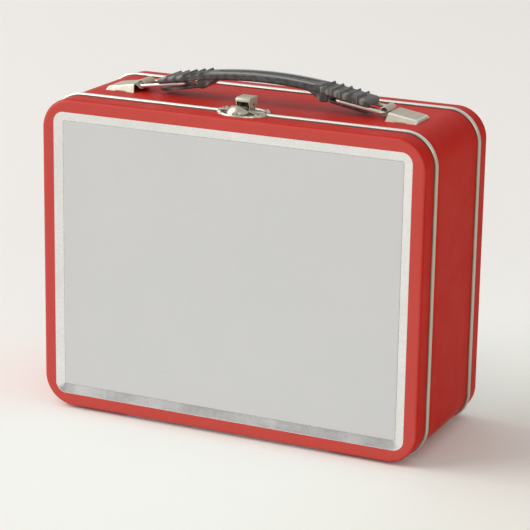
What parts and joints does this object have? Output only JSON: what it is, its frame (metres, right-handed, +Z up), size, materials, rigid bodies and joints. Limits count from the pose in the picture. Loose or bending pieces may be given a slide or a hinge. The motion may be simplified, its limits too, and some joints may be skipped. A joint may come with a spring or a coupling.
{
  "type": "metal lunch box",
  "caption": "Hinged sheet-metal lunch box with sunk picture panels, a snap latch on top and a plastic handle on wire loops.",
  "frame": {"origin": "middle of the underside, where the box stands on its beads", "axes": "+X to the right along the width, +Y to the rear, away from the lid, +Z up towards the handle"},
  "size_m": [0.2056, 0.0838, 0.1754],
  "materials": {
    "red_paint": "semi-gloss red enamel, lightly worn at the edges",
    "bare_tin": "bare tin-plated steel with a soft sheen",
    "picture_plate": "plain matte pale grey plate, with no picture",
    "nickel": "warm nickel plate, slightly dulled",
    "steel_wire": "bright drawn wire",
    "black_plastic": "satin black moulded plastic"
  },
  "bodies": {
    "case": {"body_band": "red_paint", "rear_panel": "red_paint", "rear_picture_plate": "picture_plate", "rear_bead": "bare_tin", "front_bead": "bare_tin", "mouth_neck": "bare_tin", "hinge_leaf_band": "bare_tin", "hinge_pin": "steel_wire", "latch_base": "nickel", "latch_pin": "steel_wire", "latch_base_rivet_left": "nickel", "latch_base_rivet_right": "nickel", "handle_clip_left": "nickel", "handle_clip_right": "nickel"},
    "lid": {"lid_panel": "red_paint", "lid_picture_plate": "picture_plate", "hinge_leaf_lid": "bare_tin", "latch_strike": "nickel", "latch_strike_rivet_left": "nickel", "latch_strike_rivet_right": "nickel"},
    "hasp": {"latch_hasp": "nickel"},
    "handle": {"handle_grip": "black_plastic"},
    "loop_left": {"wire_loop_left": "steel_wire"},
    "loop_right": {"wire_loop_right": "steel_wire"}
  },
  "joints": [
    {"name": "lid_hinge", "type": "hinge", "parent": "case", "child": "lid", "pos_m": [0, -0.02895, 0.00125], "axis": [1, 0, 0], "range_deg": [0, 110]},
    {"name": "hasp_lift", "type": "hinge", "parent": "case", "child": "hasp", "pos_m": [0.0025, -0.02535, 0.1645], "axis": [-1, 0, 0], "range_deg": [0, 50]},
    {"name": "handle_lift", "type": "slide", "parent": "case", "child": "handle", "axis": [0, 0, 1], "range_m": [0, 0.015]},
    {"name": "loop_left_swing", "type": "hinge", "parent": "case", "child": "loop_left", "pos_m": [-0.06405, -0.00285, 0.1635], "axis": [0, -1, 0], "range_deg": [0, 37.5]},
    {"name": "loop_right_swing", "type": "hinge", "parent": "case", "child": "loop_right", "pos_m": [0.06655, -0.00285, 0.1635], "axis": [0, 1, 0], "range_deg": [0, 37.5]}
  ],
  "couplings": [
    {"joint": "loop_left_swing", "follows": "handle_lift", "rad_per_m": 43.3},
    {"joint": "loop_right_swing", "follows": "handle_lift", "rad_per_m": 43.3}
  ]
}
